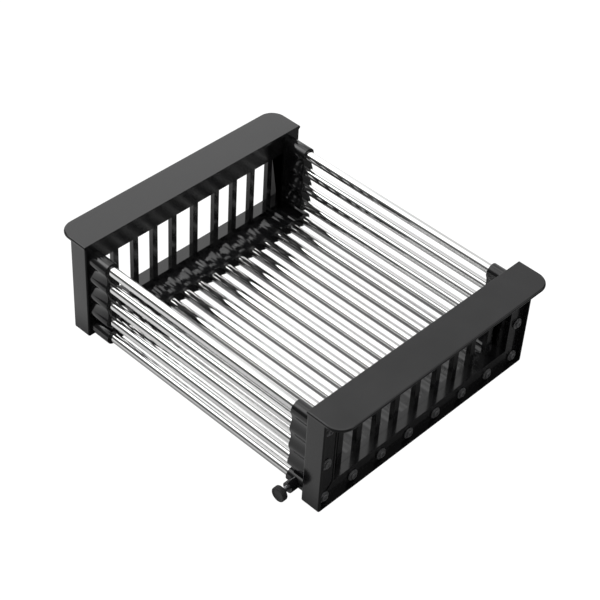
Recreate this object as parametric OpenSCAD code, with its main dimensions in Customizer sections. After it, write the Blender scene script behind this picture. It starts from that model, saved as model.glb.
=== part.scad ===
// Expandable drain basket for a kitchen sink: two moulded end frames joined by telescopic steel tubes.
// X runs along the tubes, Y across the basket from the side with the lock to the far side, Z is up.
// The origin lies under the middle of the closed basket, on the plane that its frames stand on.

/* [End frames] */
// Width of an end frame across the basket
frame_w = 230; // [200:1:300]
// Height of an end frame, from its foot to the top of the lip
frame_h = 91.6; // [86:0.1:120]
// Depth of an end frame below the lip
frame_d = 17.4; // [15:0.1:24]
// Distance between the two inner faces when the basket is closed
closed_gap = 231.1; // [200:0.1:320]
// Width of the post at each side of a frame
post_w = 17; // [15.5:0.1:22]
// Height of the bottom rail, up to the window sill
rail_h = 18.7; // [16:0.1:24]
// Height of the top rail above the windows, with the lip
head_h = 21.2; // [12:0.1:30]
// Depth of the hollow on the inner side, between the posts
inner_recess = 1.9; // [1:0.1:3]
// Drop from the window sill to the floor of the outer recess
sill_step = 0.2; // [0.2:0.1:1.6]
// Distance that the outer recess keeps from the posts' inner sides
recess_inset = 1.2; // [0.4:0.1:2]
// Radius of the upright edges of the posts
post_edge_r = 1.2; // [0.6:0.1:1.6]
// Radius of the two bottom corners
foot_corner_r = 1.8; // [1:0.1:6]

/* [Lip] */
// Depth of the lip, from the inner face to its outer edge
lip_d = 32.3; // [27:0.1:45]
// Thickness of the lip
lip_t = 3.2; // [3.2:0.1:4]
// Distance that the lip stands out past the posts at each side
lip_side = 0.9; // [0.3:0.1:1]
// Radius of the lip's two outer corners
lip_corner_r = 13.5; // [8:0.1:20]
// Radius of the lip's rounded edges, above and below
lip_edge_r = 1.5; // [1.2:0.1:1.6]

/* [Windows] */
// Number of windows on each side of the middle bar
side_windows = 5; // [3:1:6]
// Width of an upright bar
bar_w = 5.2; // [3:0.1:5.6]
// Depth of an upright bar
bar_d = 4.2; // [3:0.1:6]
// Width of the two windows beside the middle bar
middle_window_w = 17.9; // [16:0.1:20]
// Width of the windows that follow
window_w = 15; // [14:0.1:17.5]

/* [Screw channel] */
// Depth of the channel that holds the screw heads
channel_d = 4.2; // [3:0.1:5]
// Width of the rim round the outside of the channel
rim_w = 2; // [1.2:0.1:3]
// Width of the land round the outer recess
land_w = 1.2; // [0.6:0.1:2]
// Height of the land, the ribs and the screw seats above the channel's floor
land_h = 0.5; // [0.3:0.1:1]
// Width of the two slanted ribs that brace the lower corners
rib_w = 1.2; // [0.6:0.1:2]

/* [Tubes] */
// Number of tubes in the floor, the two corner tubes included
floor_tubes = 15; // [9:2:15]
// Number of tubes in each side wall, above the corner tube
wall_tubes = 4; // [2:1:4]
// Outside diameter of the outer tubes
tube_d = 8; // [7:0.1:9]
// Wall thickness of both tubes
tube_wall = 0.5; // [0.4:0.05:0.8]
// Distance from a frame's side to the axis of the corner tube
tube_margin = 8.7; // [7.6:0.1:9]
// Height of the floor tubes' axes
floor_axis_h = 8.3; // [7:0.1:9]
// Distance between the axes of the wall tubes
wall_pitch = 17; // [15:0.1:17.5]

/* [Sleeve blocks] */
// Outside radius of a sleeve
sleeve_r = 6.4; // [5.8:0.1:6.6]
// Depth of the left sleeve blocks, from the frame's inner face to their mouths
left_sleeve_d = 19.6; // [17:0.1:26]
// Depth of the right sleeve blocks
right_sleeve_d = 17.4; // [17:0.1:26]
// Depth to which a tube sits in its sleeve
socket_d = 11; // [8:0.1:11.5]
// Radius of the hollow between two sleeves
valley_r = 14; // [8:0.1:20]

/* [Screws] */
// Diameter of a screw's flange
flange_d = 9.2; // [7:0.1:10]
// Thickness of the flange
flange_t = 0.8; // [0.5:0.1:1]
// Diameter of a screw's head
head_d = 6; // [5:0.1:6.6]
// Height of the head above its flange
head_t = 1.4; // [0.8:0.1:1.6]
// Diameter of a screw shank
shank_d = 3.5; // [2.5:0.1:4]
// Length of screw that bites into a sleeve
screw_bite = 5; // [3:0.1:5.2]

/* [Lock] */
// Outside radius of the lock collar
collar_r = 6; // [5.6:0.1:6.2]
// Length of the collar along the tube
collar_l = 18; // [16:0.1:20]
// Depth to which the outer tube sits in the collar
collar_socket_d = 5; // [3:0.1:5.2]
// Radius of the boss that carries the lock screw
boss_r = 4.5; // [4:0.1:5]
// Distance from the boss axis to the right frame's inner face
boss_inset = 9.7; // [9:0.1:10.5]
// Length of the boss beyond the frame's side
boss_reach = 4; // [3:0.1:8]
// Diameter of the lock screw's stem
stem_d = 4; // [3:0.1:4.5]
// Length of stem that shows between boss and knob
stem_show = 5.7; // [3:0.1:8]
// Diameter of the knob
knob_d = 12.2; // [9:0.1:14]
// Thickness of the knob
knob_t = 4.7; // [4:0.1:10]

/* [Hidden] */
$fn = 96;

// Clearances
running_fit = 0.05;
socket_fit = 0.03;
key_fit = 0.1;
screw_fit = 0.2;
rest_gap = 0.3;
overrun = 1;

// Places of the two frames, which mirror each other about the middle plane
inner_face = closed_gap / 2;
lock_reach = boss_reach + stem_show + knob_t;
near_side = (lock_reach - frame_w - lip_side) / 2;
lip_under = frame_h - lip_t;
post_top = frame_h - lip_edge_r;
window_top = frame_h - head_h;
bar_back = inner_recess + bar_d;
recess_floor = rail_h - sill_step;
channel_floor = frame_d - channel_d;
screw_seat = channel_floor + land_h;
recess_side = post_w + recess_inset;

// Tubes, listed as the floor from near to far, then the near wall and the far wall from the bottom up
floor_pitch = (frame_w - 2 * tube_margin) / (floor_tubes - 1);
inner_tube_d = tube_d - 2 * tube_wall - 2 * running_fit;
inner_bore_d = inner_tube_d - 2 * tube_wall;
floor_places = [for (i = [0 : floor_tubes - 1]) [near_side + tube_margin + i * floor_pitch, floor_axis_h]];
wall_heights = [for (i = [1 : wall_tubes]) floor_axis_h + i * wall_pitch];
near_places = [for (h = wall_heights) [near_side + tube_margin, h]];
far_places = [for (h = wall_heights) [near_side + frame_w - tube_margin, h]];
tube_places = concat(floor_places, near_places, far_places);
tube_count = len(tube_places);
corner = tube_places[0];

// Ends of the tubes along X. The inner tubes reach nearly to the left frame, so that the two halves can
// slide 150 mm apart and still hold each other over 50 mm of tube
left_mouth = inner_face - left_sleeve_d;
right_mouth = inner_face - right_sleeve_d;
left_end = left_mouth + socket_d;
right_end = right_mouth + socket_d;
end_play = 1;
inner_start = -left_end + end_play;
corner_socket_d = 8;

// Screws sit behind every second tube of the floor and of each wall
screw_places = [
    for (i = [0 : tube_count - 1])
        let (level = i < floor_tubes ? i : (i - floor_tubes) % wall_tubes + 1)
            if (level % 2 == 0) tube_places[i]
];
pilot_d = shank_d + 2 * socket_fit;
screw_hole_d = shank_d + 2 * screw_fit;
screw_tip = inner_face - screw_bite;
slot_w = head_d / 6;
slot_depth = head_t / 2;
slot_span_share = 0.62;
rib_reach = [recess_side - tube_margin, recess_floor - floor_axis_h];
rib_l = norm(rib_reach) - flange_d / 2 - rest_gap;

// Small mouldings
inner_corner_r = 0.5;
mouth_chamfer = 0.4;
peg_d = inner_bore_d - 2 * socket_fit;
peg_l = 14;

// Lock
collar_start = inner_face - rest_gap - collar_l;
boss_x = inner_face - boss_inset;
boss_end = near_side - boss_reach;
stem_tip = corner[0] - inner_tube_d / 2 - rest_gap;
insert_r = 3.2;
insert_l = 6;
insert_inset = 2;
insert_start = boss_end + insert_inset;
knob_inner = boss_end - stem_show;
knob_socket_d = knob_t - 1.5;
knob_edge = 0.8;
dish_r_share = 0.72;
dish_depth = 0.5;

outer_names = concat(
    [for (i = [1 : floor_tubes]) str("outer_floor_tube_", i)],
    [for (i = [1 : wall_tubes]) str("outer_near_wall_tube_", i)],
    [for (i = [1 : wall_tubes]) str("outer_far_wall_tube_", i)]
);
inner_names = concat(
    [for (i = [1 : floor_tubes]) str("inner_floor_tube_", i)],
    [for (i = [1 : wall_tubes]) str("inner_near_wall_tube_", i)],
    [for (i = [1 : wall_tubes]) str("inner_far_wall_tube_", i)]
);

// A rod along X from one place to another
module rod_x(from_x, to_x, place, diameter) {
    translate([from_x, place[0], place[1]])
        rotate([0, 90, 0])
            cylinder(h = to_x - from_x, d = diameter);
}

// A rod along Y from one place to another
module rod_y(from_y, to_y, diameter) {
    translate([boss_x, from_y, floor_axis_h])
        rotate([-90, 0, 0])
            cylinder(h = to_y - from_y, d = diameter);
}

// Stands a flat shape that is drawn in Y and Z upright and gives it a depth along X
module upright(from_x, to_x) {
    translate([from_x, 0, 0])
        rotate([90, 0, 90])
            linear_extrude(to_x - from_x)
                children();
}

// A box from its lowest corner to its highest
module block(low, high) {
    translate(low)
        cube(high - low);
}

// Plan of the posts and rails, with rounded upright edges
module frame_plan() {
    for (x = [post_edge_r, frame_d - post_edge_r])
        for (y = [post_edge_r, frame_w - post_edge_r])
            translate([x, y])
                circle(post_edge_r);
    translate([post_edge_r, 0])
        square([frame_d - 2 * post_edge_r, frame_w]);
    translate([0, post_edge_r])
        square([frame_d, frame_w - 2 * post_edge_r]);
}

// Outline of the frame seen along the tubes, drawn in Y and Z, with rounded bottom corners and open at the top
module frame_outline(inset = 0) {
    r = max(foot_corner_r - inset, inner_corner_r);
    width = frame_w - 2 * inset;
    translate([inset, inset]) {
        for (y = [r, width - r])
            translate([y, r])
                circle(r);
        translate([r, 0])
            square([width - 2 * r, r]);
        translate([0, r])
            square([width, frame_h - inset - r]);
    }
}

// Slanted rib from a lower corner of the outer recess towards the corner screw, drawn in Y and Z
module corner_rib() {
    translate([recess_side, recess_floor])
        rotate(180 + atan2(rib_reach[1], rib_reach[0]))
            translate([0, -rib_w / 2])
                square([rib_l, rib_w]);
}

// Channel round the outer face that holds the screw heads. A low land goes round the outer recess, and low
// ribs and round seats stand on the channel's floor
module screw_channel() {
    land_side = recess_side - land_w;
    upright(screw_seat, frame_d + overrun)
        frame_outline(rim_w);
    upright(channel_floor, frame_d)
        difference() {
            frame_outline(rim_w);
            translate([land_side, recess_floor - land_w])
                square([frame_w - 2 * land_side, frame_h]);
            corner_rib();
            translate([frame_w, 0])
                mirror([1, 0])
                    corner_rib();
            for (place = screw_places)
                translate([place[0] - near_side, place[1]])
                    circle(d = flange_d);
        }
}

// Bars, drawn in Y, of one frame: the middle one and those on each side of it
module bars() {
    pitch = window_w + bar_w;
    first = middle_window_w + bar_w;
    offsets = [for (i = [0 : side_windows - 2]) first + i * pitch];
    for (offset = concat([0], offsets, -offsets))
        translate([inner_recess, frame_w / 2 + offset - bar_w / 2, rail_h - overrun])
            cube([bar_d, bar_w, window_top - rail_h + 2 * overrun]);
}

// Edge of the lip in section, up to a given width, rounded above and below
module lip_section(width) {
    square([width - lip_edge_r, lip_t]);
    translate([0, lip_edge_r])
        square([width, lip_t - 2 * lip_edge_r]);
    for (z = [lip_edge_r, lip_t - lip_edge_r])
        translate([width - lip_edge_r, z])
            circle(lip_edge_r);
}

// Quarter turn of the lip's section round an outer corner
module lip_corner() {
    rotate_extrude(angle = 90)
        intersection() {
            lip_section(lip_corner_r);
            square([lip_corner_r, lip_t]);
        }
}

// Rounded lip that rests on the rim of the sink and stands out past the posts
module lip() {
    width = frame_w + 2 * lip_side;
    straight = width - 2 * lip_corner_r;
    depth = lip_d - lip_corner_r;
    translate([0, -lip_side, lip_under]) {
        translate([depth, lip_corner_r, 0])
            rotate([0, 0, -90])
                lip_corner();
        translate([depth, width - lip_corner_r, 0])
            lip_corner();
        translate([0, lip_corner_r, 0])
            cube([depth, straight, lip_t]);
        translate([depth, lip_corner_r + straight, 0])
            rotate([90, 0, 0])
                linear_extrude(straight)
                    lip_section(lip_corner_r);
        translate([0, width - lip_corner_r, 0])
            rotate([90, 0, 90])
                linear_extrude(depth)
                    lip_section(lip_corner_r);
        translate([depth, lip_corner_r, 0])
            rotate([90, 0, -90])
                linear_extrude(depth)
                    lip_section(lip_corner_r);
    }
}

// One end frame, drawn with its inner face on the YZ plane and its near side on the XZ plane
module end_frame() {
    near = post_w;
    far = frame_w - post_w;
    difference() {
        intersection() {
            linear_extrude(post_top)
                frame_plan();
            upright(-overrun, frame_d + overrun)
                frame_outline();
        }
        block([-overrun, near, -overrun], [inner_recess, far, frame_h]);
        block([bar_back, recess_side, recess_floor], [frame_d + overrun, frame_w - recess_side, frame_h]);
        block([-overrun, near, rail_h], [bar_back, far, window_top]);
        block([inner_recess, recess_side, rail_h], [bar_back + overrun, frame_w - recess_side, window_top]);
        screw_channel();
    }
    bars();
    lip();
}

// Holes for the screws, from one place in their list on, with the frame in its place
module screw_holes(first) {
    for (i = [first : len(screw_places) - 1])
        rod_x(inner_face - overrun, inner_face + frame_d, screw_places[i], screw_hole_d);
}

// Sleeves round a row of tubes, each blended into its neighbours, from one place along X to another
module sleeve_row(from_x, to_x, first, last) {
    for (i = [first : last])
        rod_x(from_x, to_x, tube_places[i], 2 * sleeve_r);
    for (i = [first : last - 1])
        upright(from_x, to_x)
            sleeve_link(tube_places[i], tube_places[i + 1]);
}

// Web between two sleeves whose hollow sides are tangent to both
module sleeve_link(from, to) {
    half = norm(to - from) / 2;
    along = (to - from) / (2 * half);
    across = [-along[1], along[0]];
    rise = sqrt(pow(sleeve_r + valley_r, 2) - pow(half, 2));
    middle = (from + to) / 2;
    difference() {
        polygon([from, middle + rise * across, to, middle - rise * across]);
        for (side = [-1, 1])
            translate(middle + side * rise * across)
                circle(valley_r);
    }
}

// One sleeve block in its place at the right, from a given mouth on and round tubes of a given diameter, with
// its screw holes
module sleeve_block(first, last, mouth, diameter) {
    difference() {
        union() {
            sleeve_row(mouth, inner_face, first, last);
            if (last < floor_tubes)
                block_key(first, last);
        }
        for (i = [first : last]) {
            rod_x(mouth - overrun, mouth + socket_d, tube_places[i], diameter + 2 * socket_fit);
            translate([mouth, tube_places[i][0], tube_places[i][1]])
                rotate([0, 90, 0])
                    cylinder(h = mouth_chamfer, d1 = diameter + 2 * mouth_chamfer, d2 = diameter);
        }
        for (place = screw_places)
            rod_x(screw_tip - socket_fit, inner_face + inner_recess + overrun, place, pilot_d);
    }
}

// Back of a floor block, which fills the hollow of the frame between its posts
module block_key(first, last) {
    key_near = near_side + post_w + key_fit;
    key_far = near_side + frame_w - post_w - key_fit;
    intersection() {
        sleeve_row(inner_face, inner_face + inner_recess, first, last);
        block([inner_face, key_near, 0], [inner_face + inner_recess, key_far, rail_h]);
    }
}

// One screw with a wide flange and a round-edged, cross-slotted head, drawn with its tip on the left
module screw(place) {
    seat = inner_face + screw_seat;
    top = seat + flange_t + head_t;
    edge = head_t / 2;
    translate([0, place[0], place[1]])
        rotate([0, 90, 0])
            difference() {
                rotate_extrude() {
                    translate([0, screw_tip])
                        square([shank_d / 2, seat - screw_tip]);
                    translate([0, seat])
                        square([flange_d / 2, flange_t]);
                    translate([0, seat])
                        square([head_d / 2, flange_t + edge]);
                    translate([0, seat])
                        square([head_d / 2 - edge, flange_t + head_t]);
                    translate([head_d / 2 - edge, top - edge])
                        circle(edge);
                }
                for (turn = [45, 135])
                    rotate([0, 0, turn])
                        translate([0, 0, top - slot_depth / 2 + overrun / 2])
                            cube([head_d * slot_span_share, slot_w, slot_depth + overrun], center = true);
            }
}

// Peg inside the end of the corner tube, which has no sleeve at the right and sits in the post itself
module corner_peg() {
    end = inner_face + corner_socket_d;
    rod_x(end - peg_l, end, corner, peg_d);
}

module left_end_frame() {
    color("#4a4a4a")
        mirror([1, 0, 0])
            difference() {
                translate([inner_face, near_side, 0])
                    end_frame();
                screw_holes(0);
            }
}

module right_end_frame() {
    socket_d = inner_tube_d + 2 * socket_fit;
    color("#3f3f3f")
        difference() {
            union() {
                difference() {
                    translate([inner_face, near_side, 0])
                        end_frame();
                    rod_x(inner_face - overrun, inner_face + corner_socket_d, corner, socket_d);
                }
                corner_peg();
            }
            screw_holes(1);
            rod_x(screw_tip - socket_fit, inner_face + frame_d, corner, pilot_d);
        }
}

module left_floor_block() {
    color("#161616")
        mirror([1, 0, 0])
            sleeve_block(0, floor_tubes - 1, left_mouth, tube_d);
}

module left_near_wall_block() {
    color("#161616")
        mirror([1, 0, 0])
            sleeve_block(floor_tubes, floor_tubes + wall_tubes - 1, left_mouth, tube_d);
}

module left_far_wall_block() {
    color("#161616")
        mirror([1, 0, 0])
            sleeve_block(floor_tubes + wall_tubes, tube_count - 1, left_mouth, tube_d);
}

// The right floor block leaves out the corner sleeve, where the lock collar sits
module right_floor_block() {
    color("#161616")
        sleeve_block(1, floor_tubes - 1, right_mouth, inner_tube_d);
}

module right_near_wall_block() {
    color("#161616")
        sleeve_block(floor_tubes, floor_tubes + wall_tubes - 1, right_mouth, inner_tube_d);
}

module right_far_wall_block() {
    color("#161616")
        sleeve_block(floor_tubes + wall_tubes, tube_count - 1, right_mouth, inner_tube_d);
}

module left_screws() {
    color("#2b2b2b")
        mirror([1, 0, 0])
            for (place = screw_places)
                screw(place);
}

module right_screws() {
    color("#2b2b2b")
        for (place = screw_places)
            screw(place);
}

// Outer tube, held in the left block; the corner one is longer and carries the collar
module outer_tube(i) {
    end = i == 0 ? collar_start + collar_socket_d : right_mouth - rest_gap;
    color("#d8d8d8")
        difference() {
            rod_x(-left_end, end, tube_places[i], tube_d);
            rod_x(-left_end - overrun, end + overrun, tube_places[i], tube_d - 2 * tube_wall);
        }
}

// Inner tube, held in the right block; the corner one runs on into the post
module inner_tube(i) {
    end = i == 0 ? inner_face + corner_socket_d : right_end;
    color("#c8c8c8")
        difference() {
            rod_x(inner_start, end, tube_places[i], inner_tube_d);
            rod_x(inner_start - overrun, end + overrun, tube_places[i], inner_bore_d);
        }
}

// Collar on the end of the corner's outer tube, with the boss for the lock screw
module lock_collar() {
    color("#161616")
        difference() {
            union() {
                rod_x(collar_start, inner_face - rest_gap, corner, 2 * collar_r);
                rod_y(boss_end, corner[0], 2 * boss_r);
            }
            rod_x(collar_start - overrun, collar_start + collar_socket_d, corner, tube_d + 2 * socket_fit);
            rod_x(collar_start, inner_face, corner, inner_tube_d + 2 * running_fit);
            rod_y(boss_end - overrun, corner[0], stem_d + 2 * screw_fit);
            rod_y(insert_start, insert_start + insert_l, 2 * insert_r);
        }
}

// Threaded metal insert, moulded into the boss
module lock_insert() {
    color("#b5924c")
        difference() {
            rod_y(insert_start, insert_start + insert_l, 2 * (insert_r - socket_fit));
            rod_y(insert_start - overrun, insert_start + insert_l + overrun, stem_d + 2 * running_fit);
        }
}

// Stem of the lock screw, whose tip presses on the inner tube
module lock_stem() {
    color("#b0b0b0")
        rod_y(knob_inner - knob_socket_d, stem_tip, stem_d);
}

// Round knob with bevelled edges and a dished face
module lock_knob() {
    outer = knob_t;
    color("#1c1c1c")
        translate([boss_x, knob_inner, floor_axis_h])
            rotate([90, 0, 0])
                difference() {
                    rotate_extrude()
                        polygon([
                            [0, 0],
                            [knob_d / 2 - knob_edge, 0],
                            [knob_d / 2, knob_edge],
                            [knob_d / 2, outer - knob_edge],
                            [knob_d / 2 - knob_edge, outer],
                            [knob_d / 2 * dish_r_share, outer],
                            [knob_d / 2 * dish_r_share - dish_depth, outer - dish_depth],
                            [0, outer - dish_depth]
                        ]);
                    translate([0, 0, -overrun])
                        cylinder(h = knob_socket_d + overrun + running_fit, d = stem_d + 2 * running_fit);
                }
}

left_end_frame();
left_floor_block();
left_near_wall_block();
left_far_wall_block();
left_screws();
right_end_frame();
right_floor_block();
right_near_wall_block();
right_far_wall_block();
right_screws();
lock_collar();
lock_insert();
lock_stem();
lock_knob();
for (i = [0 : tube_count - 1]) outer_tube(i);
for (i = [0 : tube_count - 1]) inner_tube(i);
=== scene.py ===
import math

import bpy
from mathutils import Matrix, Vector


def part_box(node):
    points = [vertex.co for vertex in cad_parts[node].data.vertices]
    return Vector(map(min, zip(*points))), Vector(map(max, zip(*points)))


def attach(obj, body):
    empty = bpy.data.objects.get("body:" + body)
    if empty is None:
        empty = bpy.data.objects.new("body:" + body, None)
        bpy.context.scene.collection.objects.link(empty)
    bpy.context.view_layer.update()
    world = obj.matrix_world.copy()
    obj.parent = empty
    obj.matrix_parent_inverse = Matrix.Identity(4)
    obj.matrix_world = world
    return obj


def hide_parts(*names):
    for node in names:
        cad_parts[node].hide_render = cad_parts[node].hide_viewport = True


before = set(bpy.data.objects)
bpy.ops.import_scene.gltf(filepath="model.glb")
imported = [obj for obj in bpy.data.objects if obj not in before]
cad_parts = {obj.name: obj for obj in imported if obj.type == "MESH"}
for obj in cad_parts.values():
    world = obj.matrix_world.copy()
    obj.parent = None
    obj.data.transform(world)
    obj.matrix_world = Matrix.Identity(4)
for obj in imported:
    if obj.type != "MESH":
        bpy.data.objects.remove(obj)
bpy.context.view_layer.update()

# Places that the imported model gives
left_low, left_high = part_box("left_end_frame")
tube_low, tube_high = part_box("outer_floor_tube_2")
knob_low, knob_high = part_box("lock_knob")
stem_low, stem_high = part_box("lock_stem")
INNER_FACE = -left_high.x
FRAME_H = left_high.z
LIP_D = left_high.x - left_low.x

# End frames
LIP_SIDE = 0.0009
LIP_T = 0.0032
LIP_EDGE_R = 0.0015
LIP_CORNER_R = 0.0135
NEAR_SIDE = left_low.y + LIP_SIDE
FRAME_W = left_high.y - left_low.y - 2 * LIP_SIDE
FRAME_D = 0.0174
POST_W = 0.017
POST_EDGE_R = 0.0012
FOOT_CORNER_R = 0.0018
INNER_CORNER_R = 0.0005
RAIL_H = 0.0187
HEAD_H = 0.0212
SILL_STEP = 0.0002
RECESS_INSET = 0.0012
INNER_RECESS = 0.0019
BAR_W = 0.0052
BAR_D = 0.0042
MIDDLE_WINDOW_W = 0.0179
WINDOW_W = 0.015
SIDE_WINDOWS = 5
CHANNEL_D = 0.0042
RIM_W = 0.002
LAND_W = 0.0012
LAND_H = 0.0005
RIB_W = 0.0012
MOULD_EDGE = 0.0003
LIP_UNDER = FRAME_H - LIP_T
POST_TOP = FRAME_H - LIP_EDGE_R
WINDOW_TOP = FRAME_H - HEAD_H
BAR_BACK = INNER_RECESS + BAR_D
RECESS_FLOOR = RAIL_H - SILL_STEP
CHANNEL_FLOOR = FRAME_D - CHANNEL_D
SCREW_SEAT = CHANNEL_FLOOR + LAND_H
RECESS_SIDE = POST_W + RECESS_INSET

# Tubes and sleeves
FLOOR_TUBES = 15
WALL_TUBES = 4
TUBE_WALL = 0.0005
TUBE_EDGE = 0.00012
SLEEVE_R = 0.0064
VALLEY_R = 0.014
SOCKET_D = 0.011
KEY_FIT = 0.0001
SOCKET_FIT = 0.00003
LEFT_MOUTH = -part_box("left_floor_block")[1].x
RIGHT_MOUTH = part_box("right_floor_block")[0].x
MOUTH_EDGE = 0.0004
OUTER_TUBE_R = (tube_high.z - tube_low.z) / 2

# Screws
FLANGE_R = 0.0046
FLANGE_T = 0.0008
HEAD_R = 0.003
HEAD_T = 0.0014
SHANK_R = 0.00175
SCREW_BITE = 0.005
SLOT_W = 0.001
SLOT_DEPTH = 0.0006
SLOT_SPAN = 0.0037
RECESS_TURN = math.radians(137.5)

# Lock
COLLAR_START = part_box("lock_collar")[0].x
COLLAR_R = 0.006
COLLAR_SOCKET_D = 0.005
BOSS_R = 0.0045
BOSS_INSET = 0.0097
BOSS_REACH = 0.004
REST_GAP = 0.0003
RUNNING_FIT = 0.00005
SCREW_FIT = 0.0002
CORNER_SOCKET_D = 0.008
STEM_R = (stem_high.z - stem_low.z) / 2
THREAD_PITCH = 0.0007
THREAD_DEPTH = 0.00035
THREAD_STEPS = 24
RIDGE_ROOT_SHARE = 1.3
RIDGE_WIDTH_SHARE = 0.95
KNOB_R = (knob_high.z - knob_low.z) / 2
KNOB_EDGE = 0.0008
KNOB_RIM = 0.0012
DISH_DEPTH = 0.0005

OVERRUN = 0.001
THIN_OVERRUN = 0.0001
SIDES = 64
END_STEPS = 9
CREST_STEPS = 4
FINE_ANGLE = math.radians(35)

# Patterns of the finishes, and the range that a noise pattern's values mostly keep to
NOISE_LOW = 0.3
NOISE_HIGH = 0.7
SINK_SPAN = 0.035
FLOW_SPAN = 0.02
PEEL_SPAN = 0.0012
CLOUD_SPAN = 0.03
LINES_PER_METRE = 3300
LINE_RUNS_PER_METRE = 12
LINE_DEPTH = 0.000004
MARK_DEPTH = 0.00001

# Camera at the photograph's place and angle
CAMERA_PLACE = (0.63776, -0.71016, 0.90886)
CAMERA_TURN_DEG = (47.9579, -2.8358, 44.2157)
CAMERA_LENS_MM = 100.734
CAMERA_SENSOR_MM = 36
CAMERA_CLIP_START = 0.05

# Floor: how much of it glows in white, for the camera and in mirrors, how a mirror sees its painted reflection of
# the studio from its dark right to its bright left, and how far the painted shade of the basket reaches
FLOOR_SIZE = 6
FLOOR_WHITE = 1.1
CAMERA_SHARE = 0.92
MIRROR_SHARE = 0.8
SHEEN_START = 0.12
SHEEN_END = 0.62
SHEEN_DARK = 0.04
SHADE_DEPTH = 0.75
SHADE_EDGE_X = (0.21, 0.13)
SHADE_EDGE_Y = (0.13, 0.1)

# Studio lights: the strength of each, and where its soft edge starts and ends along each axis of the direction
# that it shines from
ROOM_LEVEL = 0.12
STUDIO_LIGHTS = {
    "back_wall": (0.72, {"Y": (-0.15, 0.35), "X": (0.2, -0.35)}),
    "left_panel": (0.75, {"Y": (-0.15, 0.35), "X": (-0.45, -0.55)}),
    "right_strip": (0.8, {"X": (0.4, 0.56), "Y": (0.25, 0.4), "Z": (0.1, 0.3)}),
    "bright_core": (3.0, {"Y": (0.05, -0.2), "Z": (0.62, 0.72), "X": (-0.35, -0.58)}),
}
OVERHEAD_LIGHT = (1.0, {"Z": (0.7, 0.87)})
NEAR_LIGHT = (0.95, {"Y": (0.1, -0.25), "Z": (0.43, 0.74), "X": (0.2, -0.2)})


def tube_axis(node):
    """Middle of a tube node, seen along the tube: its Y and Z."""
    low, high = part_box(node)
    return (low.y + high.y) / 2, (low.z + high.z) / 2


FLOOR_NODES = [f"outer_floor_tube_{i}" for i in range(1, FLOOR_TUBES + 1)]
NEAR_NODES = [f"outer_near_wall_tube_{i}" for i in range(1, WALL_TUBES + 1)]
FAR_NODES = [f"outer_far_wall_tube_{i}" for i in range(1, WALL_TUBES + 1)]
FLOOR_AXES = [tube_axis(node) for node in FLOOR_NODES]
NEAR_AXES = [tube_axis(node) for node in NEAR_NODES]
FAR_AXES = [tube_axis(node) for node in FAR_NODES]
CORNER_AXIS = FLOOR_AXES[0]
INNER_TUBE_R = (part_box("inner_floor_tube_2")[1].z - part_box("inner_floor_tube_2")[0].z) / 2
SCREW_PLACES = FLOOR_AXES[0::2] + NEAR_AXES[1::2] + FAR_AXES[1::2]
BOSS_X = INNER_FACE - BOSS_INSET
BOSS_END = NEAR_SIDE - BOSS_REACH


def take(*pieces):
    """Leaves only these pieces selected, the first of them active."""
    bpy.ops.object.select_all(action="DESELECT")
    for piece in pieces:
        piece.select_set(True)
    bpy.context.view_layer.objects.active = pieces[0]


def settle(name):
    """Names the new piece and puts its place into its mesh."""
    piece = bpy.context.view_layer.objects.active
    take(piece)
    bpy.ops.object.transform_apply(location=True, rotation=True, scale=True)
    piece.name = name
    piece.data.name = name
    return piece


def slab(name, low, high, tilt=0.0):
    """A box from its lowest corner to its highest, which may be tilted about its own middle along X."""
    size = Vector(high) - Vector(low)
    middle = (Vector(high) + Vector(low)) / 2
    bpy.ops.mesh.primitive_cube_add(size=1, location=middle, rotation=(tilt, 0, 0), scale=size)
    return settle(name)


def rod_x(name, from_x, to_x, axis, radius, ends="NGON"):
    """A round rod along X, about an axis given by its Y and Z."""
    bpy.ops.mesh.primitive_cylinder_add(
        vertices=SIDES, radius=radius, depth=to_x - from_x, end_fill_type=ends,
        location=((from_x + to_x) / 2, *axis), rotation=(0, math.pi / 2, 0))
    return settle(name)


def rod_y(name, from_y, to_y, radius):
    """A round rod along Y on the axis of the lock screw."""
    bpy.ops.mesh.primitive_cylinder_add(
        vertices=SIDES, radius=radius, depth=to_y - from_y,
        location=(BOSS_X, (from_y + to_y) / 2, CORNER_AXIS[1]), rotation=(math.pi / 2, 0, 0))
    return settle(name)


def join(name, pieces):
    """Makes one piece of several that don't touch."""
    take(*pieces)
    bpy.ops.object.join()
    return settle(name)


def combine(piece, tool, operation):
    """Cuts a tool out of a piece, or welds it on, and uses the tool up."""
    take(piece)
    modifier = piece.modifiers.new("combine", "BOOLEAN")
    modifier.operation = operation
    modifier.solver = "EXACT"
    modifier.object = tool
    bpy.ops.object.modifier_apply(modifier=modifier.name)
    bpy.data.objects.remove(tool, do_unlink=True)


def cut(piece, *tools):
    for tool in tools:
        combine(piece, tool, "DIFFERENCE")


def weld(piece, *tools):
    for tool in tools:
        combine(piece, tool, "UNION")


def round_edges(piece, wanted, radius, segments):
    """Rounds the edges whose two ends pass a test."""
    take(piece)
    bpy.ops.object.mode_set(mode="EDIT")
    bpy.ops.mesh.select_mode(type="EDGE")
    bpy.ops.mesh.select_all(action="DESELECT")
    bpy.ops.object.mode_set(mode="OBJECT")
    places = [vertex.co for vertex in piece.data.vertices]
    for edge in piece.data.edges:
        edge.select = wanted(places[edge.vertices[0]], places[edge.vertices[1]])
    bpy.ops.object.mode_set(mode="EDIT")
    bpy.ops.mesh.bevel(offset=radius, segments=segments, affect="EDGES")
    bpy.ops.object.mode_set(mode="OBJECT")


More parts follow.
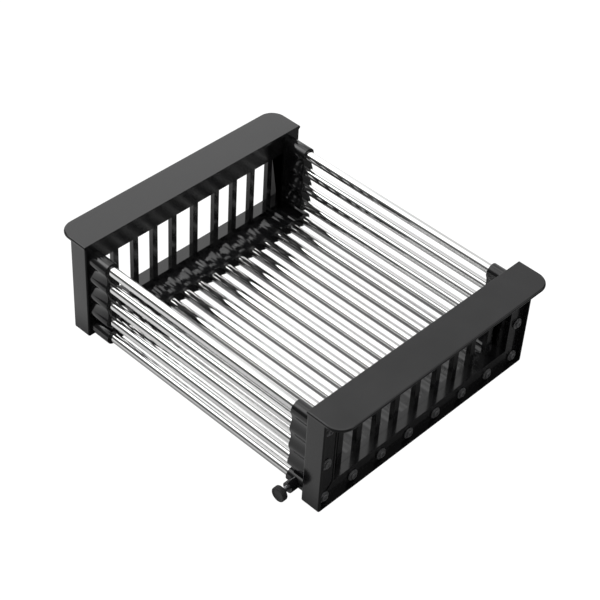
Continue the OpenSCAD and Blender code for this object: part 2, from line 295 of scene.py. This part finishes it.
def soften(piece, radius, segments=2):
    """Takes the sharpness off every edge that is still sharp, as a mould or a file leaves it."""
    take(piece)
    modifier = piece.modifiers.new("soften", "BEVEL")
    modifier.width = radius
    modifier.segments = segments
    modifier.limit_method = "ANGLE"
    modifier.angle_limit = FINE_ANGLE
    modifier.use_clamp_overlap = True
    bpy.ops.object.modifier_apply(modifier=modifier.name)


def polish(piece):
    """Smooth shading that keeps the flats flat."""
    take(piece)
    bpy.ops.object.shade_smooth_by_angle(angle=FINE_ANGLE)
    modifier = piece.modifiers.new("flats", "WEIGHTED_NORMAL")
    modifier.keep_sharp = True
    modifier.weight = 80
    bpy.ops.object.modifier_apply(modifier=modifier.name)


def copy_of(piece, name, offset=(0, 0, 0)):
    """Another of the same, with its own mesh, at a distance from the first."""
    twin = piece.copy()
    twin.data = piece.data.copy()
    bpy.context.scene.collection.objects.link(twin)
    twin.location = offset
    take(twin)
    return settle(name)


def mirrored(piece, name):
    """The same piece for the left side."""
    twin = piece.copy()
    twin.data = piece.data.copy()
    bpy.context.scene.collection.objects.link(twin)
    twin.scale = (-1, 1, 1)
    take(twin)
    settle(name)
    bpy.ops.object.mode_set(mode="EDIT")
    bpy.ops.mesh.select_all(action="SELECT")
    bpy.ops.mesh.normals_make_consistent(inside=False)
    bpy.ops.object.mode_set(mode="OBJECT")
    return twin


def near(value, target):
    return abs(value - target) < 1e-6


def at(out, along, height):
    """A place on the right frame, from its inner face, its near side and its foot."""
    return Vector((INNER_FACE + out, NEAR_SIDE + along, height))


def corner_rounded(box, height, radius):
    """Rounds the two lower corners of a box that stands at a height."""
    round_edges(box, lambda a, b: near(a.z, height) and near(b.z, height) and near(a.y, b.y), radius, 5)
    return box


def screw_channel():
    """What is hollow round the outer face. A low land, two slanted ribs and the screws' seats stand on its floor."""
    upper = slab("upper_room", at(SCREW_SEAT, RIM_W, RIM_W), at(FRAME_D + OVERRUN, FRAME_W - RIM_W, FRAME_H))
    lower = slab("channel", at(CHANNEL_FLOOR, RIM_W, RIM_W), at(FRAME_D, FRAME_W - RIM_W, FRAME_H))
    land_side = RECESS_SIDE - LAND_W
    land = slab("land", at(CHANNEL_FLOOR - OVERRUN, land_side, RECESS_FLOOR - LAND_W),
                at(FRAME_D + OVERRUN, FRAME_W - land_side, FRAME_H + OVERRUN))
    recess_corner = Vector((RECESS_SIDE, RECESS_FLOOR))
    reach = recess_corner - (Vector(CORNER_AXIS) - Vector((NEAR_SIDE, 0)))
    length = reach.length - FLANGE_R - REST_GAP
    middle = recess_corner - reach.normalized() * length / 2
    tilt = math.atan2(reach.y, reach.x)
    ribs = []
    for along, turn in ((middle.x, tilt), (FRAME_W - middle.x, -tilt)):
        low = at(CHANNEL_FLOOR - OVERRUN, along - length / 2, middle.y - RIB_W / 2)
        high = at(FRAME_D + OVERRUN, along + length / 2, middle.y + RIB_W / 2)
        ribs.append(slab("rib", low, high, turn))
    seats = [rod_x("seat", INNER_FACE + CHANNEL_FLOOR - OVERRUN, INNER_FACE + FRAME_D + OVERRUN, place, FLANGE_R)
             for place in SCREW_PLACES]
    lower = corner_rounded(lower, RIM_W, INNER_CORNER_R)
    cut(lower, land, *ribs, join("seats", seats))
    return [corner_rounded(upper, RIM_W, INNER_CORNER_R), lower]


def windows():
    """The ten openings between the bars, as one cutter."""
    pitch = WINDOW_W + BAR_W
    offsets = [MIDDLE_WINDOW_W + BAR_W + i * pitch for i in range(SIDE_WINDOWS - 1)]
    bars = sorted([0.0, *offsets, *[-offset for offset in offsets]])
    middle = FRAME_W / 2
    starts = [POST_W] + [middle + bar + BAR_W / 2 for bar in bars]
    ends = [middle + bar - BAR_W / 2 for bar in bars] + [FRAME_W - POST_W]
    cutters = [
        slab("window", at(-OVERRUN, start, RAIL_H), at(BAR_BACK + THIN_OVERRUN, end, WINDOW_TOP))
        for start, end in zip(starts, ends)
    ]
    return join("windows", cutters)


def lip():
    """Rounded lip that hooks over the sink's rim."""
    plate = slab("lip", at(0, -LIP_SIDE, LIP_UNDER), at(LIP_D, FRAME_W + LIP_SIDE, FRAME_H))
    outer = INNER_FACE + LIP_D
    round_edges(plate, lambda a, b: near(a.x, outer) and near(b.x, outer) and near(a.y, b.y), LIP_CORNER_R, 24)
    round_edges(plate, lambda a, b: near(a.z, b.z) and not (near(a.x, INNER_FACE) and near(b.x, INNER_FACE)),
                LIP_EDGE_R, 6)
    round_edges(plate, lambda a, b: near(a.x, INNER_FACE) and near(b.x, INNER_FACE), MOULD_EDGE, 2)
    return plate


def end_frame():
    """One end frame in one moulding, made as the right one, without its screw holes."""
    body = slab("frame", at(0, 0, 0), at(FRAME_D, FRAME_W, POST_TOP))
    corner_rounded(body, 0, FOOT_CORNER_R)
    round_edges(body, lambda a, b: near(a.x, b.x) and not near(a.z + b.z, 2 * POST_TOP), POST_EDGE_R, 5)
    far = FRAME_W - POST_W
    inner = slab("inner_hollow", at(-OVERRUN, POST_W, -OVERRUN), at(INNER_RECESS, far, FRAME_H))
    outer = slab("outer_hollow", at(BAR_BACK, RECESS_SIDE, RECESS_FLOOR),
                 at(FRAME_D + OVERRUN, FRAME_W - RECESS_SIDE, FRAME_H))
    cut(body, inner, outer, windows(), *screw_channel())
    soften(body, MOULD_EDGE)
    weld(body, lip())
    return body


def screw_holes(places):
    """Cutter for the holes that the screws pass through."""
    radius = SHANK_R + SCREW_FIT
    return join("holes", [rod_x("hole", INNER_FACE - OVERRUN, INNER_FACE + FRAME_D, place, radius)
                          for place in places])


def end_frames():
    """Both frames: the right one also holds the end of the corner's inner tube in a moulded socket."""
    right = end_frame()
    left = mirrored(right, "left_frame")
    holes = screw_holes(SCREW_PLACES)
    cut(left, mirrored(holes, "left_holes"))
    bpy.data.objects.remove(holes, do_unlink=True)
    cut(right, screw_holes(SCREW_PLACES[1:]))
    cut(right, rod_x("socket", INNER_FACE - OVERRUN, INNER_FACE + CORNER_SOCKET_D, CORNER_AXIS,
                     INNER_TUBE_R + SOCKET_FIT))
    right.name = "right_frame"
    for piece, node, body, slot in (
            (left, "left_end_frame", "left_half", "left_frame"),
            (right, "right_end_frame", "right_half", "right_frame")):
        polish(piece)
        dress(piece, GLOSS_PLASTIC, body, node)


def row_stations(centres):
    """Distances along a row of sleeves, each with the half height of the row there."""
    half = (centres[1] - centres[0]) / 2
    reach = SLEEVE_R + VALLEY_R
    rise = math.sqrt(reach ** 2 - half ** 2)
    bend = math.asin(half / reach)
    end_turns = [math.pi / 2 * i / END_STEPS for i in range(END_STEPS)]
    stations = [(centres[0] - SLEEVE_R * math.cos(turn), SLEEVE_R * math.sin(turn)) for turn in end_turns]
    crest = [bend * i / CREST_STEPS for i in range(CREST_STEPS + 1)]
    valley = [-turn for turn in reversed(crest[1:-1])] + crest[:-1]
    for centre in centres[:-1]:
        for turn in crest:
            stations.append((centre + SLEEVE_R * math.sin(turn), SLEEVE_R * math.cos(turn)))
        middle = centre + half
        for turn in valley:
            stations.append((middle + VALLEY_R * math.sin(turn), rise - VALLEY_R * math.cos(turn)))
        for turn in reversed(crest[1:]):
            stations.append((middle + half - SLEEVE_R * math.sin(turn), SLEEVE_R * math.cos(turn)))
    last = centres[-1]
    stations.append((last, SLEEVE_R))
    stations += [(last + SLEEVE_R * math.cos(turn), SLEEVE_R * math.sin(turn)) for turn in reversed(end_turns)]
    return stations


def sleeve_block(name, axes, mouth, tube_r, upright):
    """A row of sleeves blended into one scalloped block, with a bore for each tube, made for the right side."""
    centres = [axis[1] if upright else axis[0] for axis in axes]
    level = axes[0][0] if upright else axes[0][1]
    stations = row_stations(centres)
    back = INNER_FACE if upright else INNER_FACE + INNER_RECESS
    columns = len(stations) - 1
    bpy.ops.mesh.primitive_grid_add(x_subdivisions=columns, y_subdivisions=1, size=1)
    block = settle(name)
    for vertex in block.data.vertices:
        along, half = stations[round((vertex.co.x + 0.5) * columns)]
        across = level + math.copysign(half, vertex.co.y)
        vertex.co = (mouth, across, along) if upright else (mouth, along, across)
    bpy.ops.object.mode_set(mode="EDIT")
    bpy.ops.mesh.select_all(action="SELECT")
    bpy.ops.mesh.remove_doubles(threshold=1e-6)
    bpy.ops.mesh.extrude_region_move(TRANSFORM_OT_translate={"value": (back - mouth, 0, 0)})
    bpy.ops.mesh.select_all(action="SELECT")
    bpy.ops.mesh.normals_make_consistent(inside=False)
    bpy.ops.object.mode_set(mode="OBJECT")
    if not upright:
        key_sides = (POST_W + KEY_FIT, FRAME_W - POST_W - KEY_FIT)
        for low, high in ((-OVERRUN, key_sides[0]), (key_sides[1], FRAME_W + OVERRUN)):
            cut(block, slab("post_room", at(0, low, -OVERRUN), at(2 * INNER_RECESS, high, RAIL_H)))
    cut(block, join("bores", [rod_x("bore", mouth - OVERRUN, mouth + SOCKET_D, axis, tube_r + SOCKET_FIT)
                              for axis in axes]))
    soften(block, MOUTH_EDGE, 3)
    polish(block)
    return block


def sleeve_blocks():
    """Three blocks on each frame. The near corner of the right floor block is left out for the lock collar."""
    rows = (("floor", FLOOR_AXES, False), ("near_wall", NEAR_AXES, True), ("far_wall", FAR_AXES, True))
    for place, axes, upright in rows:
        maker = sleeve_block(f"{place}_sleeves", axes, LEFT_MOUTH, OUTER_TUBE_R, upright)
        left = mirrored(maker, f"left_{place}_sleeves")
        bpy.data.objects.remove(maker, do_unlink=True)
        right_axes = axes if upright else axes[1:]
        right = sleeve_block(f"right_{place}_sleeves", right_axes, RIGHT_MOUTH, INNER_TUBE_R, upright)
        dress(left, SLEEVE_PLASTIC, "left_half", f"left_{place}_block")
        dress(right, SLEEVE_PLASTIC, "right_half", f"right_{place}_block")


def tube(name, node):
    """A thin steel tube with deburred ends, in the place of its node."""
    low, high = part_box(node)
    radius = (high.z - low.z) / 2
    piece = rod_x(name, low.x, high.x, tube_axis(node), radius, ends="NOTHING")
    modifier = piece.modifiers.new("wall", "SOLIDIFY")
    modifier.thickness = TUBE_WALL
    modifier.offset = -1
    bpy.ops.object.modifier_apply(modifier=modifier.name)
    soften(piece, TUBE_EDGE)
    polish(piece)
    return piece


def tubes(kind, body, material):
    """All outer or all inner tubes. The corner one has its own length, and the rest are alike."""
    names = [f"{kind}_{node.removeprefix('outer_')}" for node in FLOOR_NODES + NEAR_NODES + FAR_NODES]
    pattern = tube(f"{kind}_pattern", names[1])
    first = Vector((0, *tube_axis(names[1])))
    for name in names:
        if name == names[0]:
            piece = tube(f"{name}_steel", name)
        else:
            piece = copy_of(pattern, f"{name}_steel", Vector((0, *tube_axis(name))) - first)
        dress(piece, material, body, name)
    bpy.data.objects.remove(pattern, do_unlink=True)


def screw(place, turn):
    """One flanged screw with a round-edged, cross-recessed head, made for the right frame."""
    seat = INNER_FACE + SCREW_SEAT
    top = seat + FLANGE_T + HEAD_T
    flange = rod_x("screw", seat, seat + FLANGE_T, place, FLANGE_R)
    rim = seat + FLANGE_T
    round_edges(flange, lambda a, b: near(a.x, rim) and near(b.x, rim), FLANGE_T / 3, 2)
    head = rod_x("head", seat + FLANGE_T / 2, top, place, HEAD_R)
    round_edges(head, lambda a, b: near(a.x, top) and near(b.x, top), HEAD_T / 2, 4)
    shank = rod_x("shank", INNER_FACE - SCREW_BITE, seat + FLANGE_T / 2, place, SHANK_R)
    weld(flange, head, shank)
    for quarter in (0, math.pi / 2):
        low = Vector((top - SLOT_DEPTH, place[0] - SLOT_SPAN / 2, place[1] - SLOT_W / 2))
        high = Vector((top + OVERRUN, place[0] + SLOT_SPAN / 2, place[1] + SLOT_W / 2))
        cut(flange, slab("slot", low, high, turn + quarter))
    return flange


def screws():
    """Twelve screws in each frame. Each stops at its own turn."""
    right_parts = [screw(place, i * RECESS_TURN) for i, place in enumerate(SCREW_PLACES)]
    right = join("right_frame_screws", right_parts)
    left = mirrored(right, "left_frame_screws")
    for piece, body, node in ((right, "right_half", "right_screws"), (left, "left_half", "left_screws")):
        polish(piece)
        dress(piece, BLACK_SCREW, body, node)


def lock_collar():
    """Collar on the end of the corner's outer tube, with the boss that carries the lock screw."""
    end = INNER_FACE - REST_GAP
    collar = rod_x("collar", COLLAR_START, end, CORNER_AXIS, COLLAR_R)
    boss = rod_y("boss", BOSS_END, CORNER_AXIS[0], BOSS_R)
    weld(collar, boss)
    insert_low, insert_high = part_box("lock_insert")
    cut(collar,
        rod_x("tube_socket", COLLAR_START - OVERRUN, COLLAR_START + COLLAR_SOCKET_D, CORNER_AXIS,
              OUTER_TUBE_R + SOCKET_FIT),
        rod_x("tube_bore", COLLAR_START, INNER_FACE, CORNER_AXIS, INNER_TUBE_R + RUNNING_FIT),
        rod_y("stem_hole", BOSS_END - OVERRUN, CORNER_AXIS[0], STEM_R + SCREW_FIT),
        rod_y("insert_room", insert_low.y, insert_high.y, (insert_high.z - insert_low.z) / 2 + SOCKET_FIT))
    soften(collar, MOUTH_EDGE)
    polish(collar)
    dress(collar, SLEEVE_PLASTIC, "left_half", "lock_collar")


def lock_stem():
    """Stem of the lock screw: a core with a rolled thread from end to end."""
    start, end = stem_low.y, stem_high.y
    core = rod_y("stem", start, end, STEM_R - THREAD_DEPTH)
    round_edges(core, lambda a, b: near(a.y, end) and near(b.y, end), THREAD_DEPTH, 2)
    turns = int((end - start - 2 * THREAD_PITCH) / THREAD_PITCH)
    bpy.ops.mesh.primitive_circle_add(vertices=3, radius=THREAD_DEPTH, fill_type="NGON")
    ridge = settle("thread")
    crest = max(vertex.co.y for vertex in ridge.data.vertices)
    root = min(vertex.co.y for vertex in ridge.data.vertices)
    share = 1 / (crest - root)
    for vertex in ridge.data.vertices:
        outwards = (vertex.co.y - root) * share
        vertex.co = (STEM_R - THREAD_DEPTH * RIDGE_ROOT_SHARE * (1 - outwards),
                     vertex.co.x * RIDGE_WIDTH_SHARE, 0)
    modifier = ridge.modifiers.new("helix", "SCREW")
    modifier.axis = "Y"
    modifier.screw_offset = THREAD_PITCH
    modifier.iterations = turns
    modifier.steps = THREAD_STEPS
    modifier.render_steps = THREAD_STEPS
    take(ridge)
    bpy.ops.object.modifier_apply(modifier=modifier.name)
    ridge.location = (BOSS_X, start + THREAD_PITCH, CORNER_AXIS[1])
    settle("thread")
    bpy.ops.object.mode_set(mode="EDIT")
    bpy.ops.mesh.select_all(action="SELECT")
    bpy.ops.mesh.remove_doubles(threshold=1e-7)
    bpy.ops.mesh.select_all(action="DESELECT")
    bpy.ops.mesh.select_mode(type="EDGE")
    bpy.ops.mesh.select_non_manifold()
    bpy.ops.mesh.edge_face_add()
    bpy.ops.mesh.select_all(action="SELECT")
    bpy.ops.mesh.normals_make_consistent(inside=False)
    bpy.ops.object.mode_set(mode="OBJECT")
    weld(core, ridge)
    polish(core)
    dress(core, ZINC_STEEL, "lock_stem", "lock_stem")


def lock_knob():
    """Knob with rounded edges and a dished face inside a raised rim."""
    face = knob_low.y
    knob = rod_y("knob", face, knob_high.y, KNOB_R)
    bpy.ops.object.mode_set(mode="EDIT")
    bpy.ops.mesh.select_mode(type="FACE")
    bpy.ops.mesh.select_all(action="DESELECT")
    bpy.ops.object.mode_set(mode="OBJECT")
    for side in knob.data.polygons:
        side.select = side.normal.y < -0.99
    bpy.ops.object.mode_set(mode="EDIT")
    bpy.ops.mesh.inset(thickness=KNOB_RIM)
    bpy.ops.mesh.inset(thickness=DISH_DEPTH, depth=-DISH_DEPTH)
    bpy.ops.object.mode_set(mode="OBJECT")
    for end in (face, knob_high.y):
        round_edges(knob, lambda a, b: near(a.y, end) and near(b.y, end) and
                    math.hypot(a.x - BOSS_X, a.z - CORNER_AXIS[1]) > KNOB_R - KNOB_EDGE, KNOB_EDGE, 4)
    cut(knob, rod_y("stem_room", stem_low.y - RUNNING_FIT, knob_high.y + OVERRUN, STEM_R + RUNNING_FIT))
    soften(knob, TUBE_EDGE)
    polish(knob)
    dress(knob, KNOB_PLASTIC, "lock_knob", "lock_knob")


def dress(piece, material, body, node):
    """Gives a piece its finish, its body and the node that it stands for."""
    piece.data.materials.clear()
    piece.data.materials.append(material)
    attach(piece, body)
    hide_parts(node)


def linear(hex_code):
    """A colour written as sRGB hex, as the linear RGBA that Blender's sockets take."""
    shares = [int(hex_code[i:i + 2], 16) / 255 for i in (1, 3, 5)]
    return [s / 12.92 if s <= 0.04045 else ((s + 0.055) / 1.055) ** 2.4 for s in shares] + [1]


def add(tree, kind, inputs=None, **settings):
    """Adds a node with its settings, and sets or links its inputs."""
    made = tree.nodes.new(kind)
    for name, value in settings.items():
        setattr(made, name, value)
    for socket, value in (inputs or {}).items():
        if isinstance(value, bpy.types.NodeSocket):
            tree.links.new(value, made.inputs[socket])
        else:
            made.inputs[socket].default_value = value
    return made


def new_material(name):
    """An empty node material with its output, and its tree."""
    material = bpy.data.materials.new(name)
    material.use_nodes = True
    tree = material.node_tree
    tree.nodes.clear()
    return material, tree, tree.nodes.new("ShaderNodeOutputMaterial")


def black_plastic(name, tint, roughness, wave, peel_depth):
    """Moulded black plastic: nearly black, with a gloss from the mould's polish. The skin has a fine orange peel,
    and the walls sink by a hundredth or two of a millimetre over a few centimetres, which bends what they mirror."""
    material, tree, output = new_material(name)
    place = add(tree, "ShaderNodeTexCoord").outputs["Object"]
    sink = add(tree, "ShaderNodeTexNoise", {"Vector": place, "Scale": 1 / SINK_SPAN, "Detail": 1.0})
    peel = add(tree, "ShaderNodeTexNoise", {"Vector": place, "Scale": 1 / PEEL_SPAN, "Detail": 2.0})
    flow = add(tree, "ShaderNodeTexNoise", {"Vector": place, "Scale": 1 / FLOW_SPAN, "Detail": 3.0})
    gloss = add(tree, "ShaderNodeMapRange", {
        "Value": flow.outputs["Fac"], "From Min": NOISE_LOW, "From Max": NOISE_HIGH,
        "To Min": roughness * 0.8, "To Max": roughness * 1.25})
    hue = add(tree, "ShaderNodeMix", {
        "Factor": flow.outputs["Fac"], "A": linear(tint[0]), "B": linear(tint[1])}, data_type="RGBA")
    waves = add(tree, "ShaderNodeBump", {"Height": sink.outputs["Fac"], "Strength": 1.0, "Distance": wave})
    skin = add(tree, "ShaderNodeBump", {
        "Height": peel.outputs["Fac"], "Strength": 1.0, "Distance": peel_depth, "Normal": waves.outputs["Normal"]})
    shader = add(tree, "ShaderNodeBsdfPrincipled", {
        "Base Color": hue.outputs["Result"], "Roughness": gloss.outputs["Result"], "IOR": 1.53,
        "Normal": skin.outputs["Normal"]})
    tree.links.new(shader.outputs["BSDF"], output.inputs["Surface"])
    return material


def polished_steel(name, tint, roughness):
    """Stainless tube, drawn and buffed along its length: a mirror with faint lines that run along X."""
    material, tree, output = new_material(name)
    place = add(tree, "ShaderNodeTexCoord").outputs["Object"]
    # Buffing lines are some 0.02 mm apart. They are drawn 0.3 mm apart here so that they show
    drawn = add(tree, "ShaderNodeMapping", {
        "Vector": place, "Scale": (LINE_RUNS_PER_METRE, LINES_PER_METRE, LINES_PER_METRE)})
    lines = add(tree, "ShaderNodeTexNoise", {"Vector": drawn.outputs["Vector"], "Scale": 1.0, "Detail": 3.0})
    cloud = add(tree, "ShaderNodeTexNoise", {"Vector": place, "Scale": 1 / CLOUD_SPAN, "Detail": 2.0})
    haze = add(tree, "ShaderNodeMapRange", {
        "Value": lines.outputs["Fac"], "From Min": NOISE_LOW, "From Max": NOISE_HIGH,
        "To Min": roughness * 0.7, "To Max": roughness * 1.4})
    hue = add(tree, "ShaderNodeMix", {
        "Factor": cloud.outputs["Fac"], "A": linear(tint[0]), "B": linear(tint[1])}, data_type="RGBA")
    grain = add(tree, "ShaderNodeBump", {"Height": lines.outputs["Fac"], "Strength": 1.0, "Distance": LINE_DEPTH})
    shader = add(tree, "ShaderNodeBsdfPrincipled", {
        "Base Color": hue.outputs["Result"], "Roughness": haze.outputs["Result"], "Metallic": 1.0,
        "Normal": grain.outputs["Normal"]})
    tree.links.new(shader.outputs["BSDF"], output.inputs["Surface"])
    return material


def turned_metal(name, tint, metallic, roughness, grain_size):
    """Small turned or rolled metal, bare, plated or coated: fine marks with a slightly uneven shine."""
    material, tree, output = new_material(name)
    place = add(tree, "ShaderNodeTexCoord").outputs["Object"]
    marks = add(tree, "ShaderNodeTexNoise", {"Vector": place, "Scale": 1 / grain_size, "Detail": 3.0})
    shine = add(tree, "ShaderNodeMapRange", {
        "Value": marks.outputs["Fac"], "From Min": NOISE_LOW, "From Max": NOISE_HIGH,
        "To Min": roughness * 0.75, "To Max": roughness * 1.3})
    hue = add(tree, "ShaderNodeMix", {
        "Factor": marks.outputs["Fac"], "A": linear(tint[0]), "B": linear(tint[1])}, data_type="RGBA")
    bump = add(tree, "ShaderNodeBump", {"Height": marks.outputs["Fac"], "Strength": 1.0, "Distance": MARK_DEPTH})
    shader = add(tree, "ShaderNodeBsdfPrincipled", {
        "Base Color": hue.outputs["Result"], "Roughness": shine.outputs["Result"], "Metallic": metallic,
        "Normal": bump.outputs["Normal"]})
    tree.links.new(shader.outputs["BSDF"], output.inputs["Surface"])
    return material


# The frames and sleeves are glossy, and the knob's nylon is satin. The screws' thin black coat lets a little of the
# steel shine through, zinc is pale and slightly blue, and turned brass is warm
GLOSS_PLASTIC = black_plastic("moulded_gloss_abs", ("#0f0f10", "#131314"), 0.15, 0.00002, 0.0000025)
# Painted light: the sleeves' plastic is a little lighter than the frames' so that the sleeves, in the basket's
# shade, show brighter
SLEEVE_PLASTIC = black_plastic("moulded_sleeve_abs", ("#151516", "#1a1a1b"), 0.1, 0.000012, 0.0000025)
KNOB_PLASTIC = black_plastic("moulded_knob_nylon", ("#222222", "#292929"), 0.55, 0.00001, 0.000004)
OUTER_STEEL = polished_steel("polished_stainless_outer", ("#e2e2e1", "#d9d9d9"), 0.04)
INNER_STEEL = polished_steel("polished_stainless_inner", ("#d8d8d7", "#cfcfcf"), 0.06)
BLACK_SCREW = turned_metal("black_coated_screw_steel", ("#626263", "#767677"), 0.4, 0.32, 0.0006)
ZINC_STEEL = turned_metal("zinc_plated_steel", ("#c8c9cb", "#b9babd"), 1.0, 0.22, 0.0008)
BRASS = turned_metal("turned_brass", ("#b5924c", "#a88543"), 1.0, 0.3, 0.0005)

end_frames()
sleeve_blocks()
tubes("outer", "left_half", OUTER_STEEL)
tubes("inner", "right_half", INNER_STEEL)
screws()
lock_collar()
lock_stem()
lock_knob()

# The insert is moulded into the boss, where only its bore would show
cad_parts["lock_insert"].data.materials.clear()
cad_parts["lock_insert"].data.materials.append(BRASS)

bpy.ops.object.camera_add(location=CAMERA_PLACE, rotation=[math.radians(turn) for turn in CAMERA_TURN_DEG])
camera = bpy.context.object
camera.data.lens = CAMERA_LENS_MM
camera.data.sensor_width = CAMERA_SENSOR_MM
camera.data.clip_start = CAMERA_CLIP_START
bpy.context.scene.camera = camera


def soft_patch(tree, strength, sides):
    """How bright a soft-edged patch of light or shade is. Each side is a coordinate, with where the brightness
    starts to rise and where it stops."""
    level = strength
    for coordinate, (start, end) in sides:
        rise = add(tree, "ShaderNodeMapRange", {
            "Value": coordinate, "From Min": start, "From Max": end}, interpolation_type="SMOOTHSTEP")
        level = add(tree, "ShaderNodeMath", {0: rise.outputs["Result"], 1: level}, operation="MULTIPLY").outputs[0]
    return level


def pale_floor():
    """A wide pale floor. The camera sees its white with a faint shadow. In mirrors it glows with a painted
    reflection of the
    studio: bright towards the left, where the studio's light stands, dark towards the right, and dimmed by a painted
    shade under the basket."""
    bpy.ops.mesh.primitive_plane_add(size=FLOOR_SIZE, location=(0, 0, 0))
    floor = bpy.context.object
    floor.name = "studio_floor"
    material, tree, output = new_material("pale_floor_paper")
    path = add(tree, "ShaderNodeLightPath")
    seen = add(tree, "ShaderNodeMath", {
        0: path.outputs["Is Camera Ray"], 1: CAMERA_SHARE}, operation="MULTIPLY")
    reflected = add(tree, "ShaderNodeMath", {
        0: path.outputs["Is Glossy Ray"], 1: path.outputs["Is Transmission Ray"]}, operation="MAXIMUM")
    share = add(tree, "ShaderNodeMath", {
        0: reflected.outputs[0], 1: MIRROR_SHARE, 2: seen.outputs[0]}, operation="MULTIPLY_ADD")
    towards = add(tree, "ShaderNodeSeparateXYZ", {"Vector": add(tree, "ShaderNodeNewGeometry").outputs["Incoming"]})
    # Painted reflection: what mirrors see of the floor glows brighter for rays that travel towards the left, where
    # the studio's light stands
    sheen = add(tree, "ShaderNodeMapRange", {
        "Value": towards.outputs["X"], "From Min": SHEEN_START, "From Max": SHEEN_END,
        "To Min": SHEEN_DARK, "To Max": 1.0})
    place = add(tree, "ShaderNodeSeparateXYZ", {"Vector": add(tree, "ShaderNodeTexCoord").outputs["Object"]})
    along, across = (add(tree, "ShaderNodeMath", {0: place.outputs[axis]}, operation="ABSOLUTE").outputs[0]
                     for axis in "XY")
    # Painted shade: the glow that mirrors see is dimmed under and round the basket, standing in for its shadow
    shade = soft_patch(tree, SHADE_DEPTH, [(along, SHADE_EDGE_X), (across, SHADE_EDGE_Y)])
    unshaded = add(tree, "ShaderNodeMath", {0: 1.0, 1: shade}, operation="SUBTRACT")
    dimmed = add(tree, "ShaderNodeMath", {
        0: sheen.outputs["Result"], 1: unshaded.outputs[0]}, operation="MULTIPLY")
    glow = add(tree, "ShaderNodeMix", {
        "Factor": path.outputs["Is Camera Ray"], "A": dimmed.outputs[0], "B": FLOOR_WHITE}, data_type="FLOAT")
    paper = add(tree, "ShaderNodeBsdfDiffuse", {"Color": linear("#e6e6e6")})
    white = add(tree, "ShaderNodeEmission", {"Color": (1, 1, 1, 1), "Strength": glow.outputs["Result"]})
    mix = add(tree, "ShaderNodeMixShader", {
        0: share.outputs[0], 1: paper.outputs[0], 2: white.outputs[0]})
    tree.links.new(mix.outputs[0], output.inputs["Surface"])
    floor.data.materials.append(material)


def studio_world():
    """White for the camera. For the basket, a dim room with a bright back wall, a brighter panel at its left, a
    strip light at its right and a wide light overhead that reaches down towards the camera, where it has a bright
    core at its left. All have soft edges."""
    world = bpy.data.worlds.new("studio")
    bpy.context.scene.world = world
    world.use_nodes = True
    tree = world.node_tree
    tree.nodes.clear()
    output = tree.nodes.new("ShaderNodeOutputWorld")
    place = add(tree, "ShaderNodeTexCoord").outputs["Generated"]
    towards = add(tree, "ShaderNodeSeparateXYZ", {"Vector": place})

    def light(strength, edges):
        return soft_patch(tree, strength, [(towards.outputs[axis], edge) for axis, edge in edges.items()])

    overhead = add(tree, "ShaderNodeMath", {0: light(*NEAR_LIGHT), 1: light(*OVERHEAD_LIGHT)}, operation="MAXIMUM")
    level = add(tree, "ShaderNodeMath", {0: overhead.outputs[0], 1: ROOM_LEVEL}, operation="ADD").outputs[0]
    for name, settings in STUDIO_LIGHTS.items():
        total = add(tree, "ShaderNodeMath", {0: level, 1: light(*settings)}, operation="ADD", label=name)
        level = total.outputs[0]
    path = add(tree, "ShaderNodeLightPath")
    shown = add(tree, "ShaderNodeMix", {
        "Factor": path.outputs["Is Camera Ray"], "A": level, "B": 1.0}, data_type="FLOAT")
    backdrop = add(tree, "ShaderNodeBackground", {"Color": (1, 1, 1, 1), "Strength": shown.outputs["Result"]})
    tree.links.new(backdrop.outputs[0], output.inputs["Surface"])


pale_floor()
studio_world()
bpy.context.scene.view_settings.view_transform = "Standard"
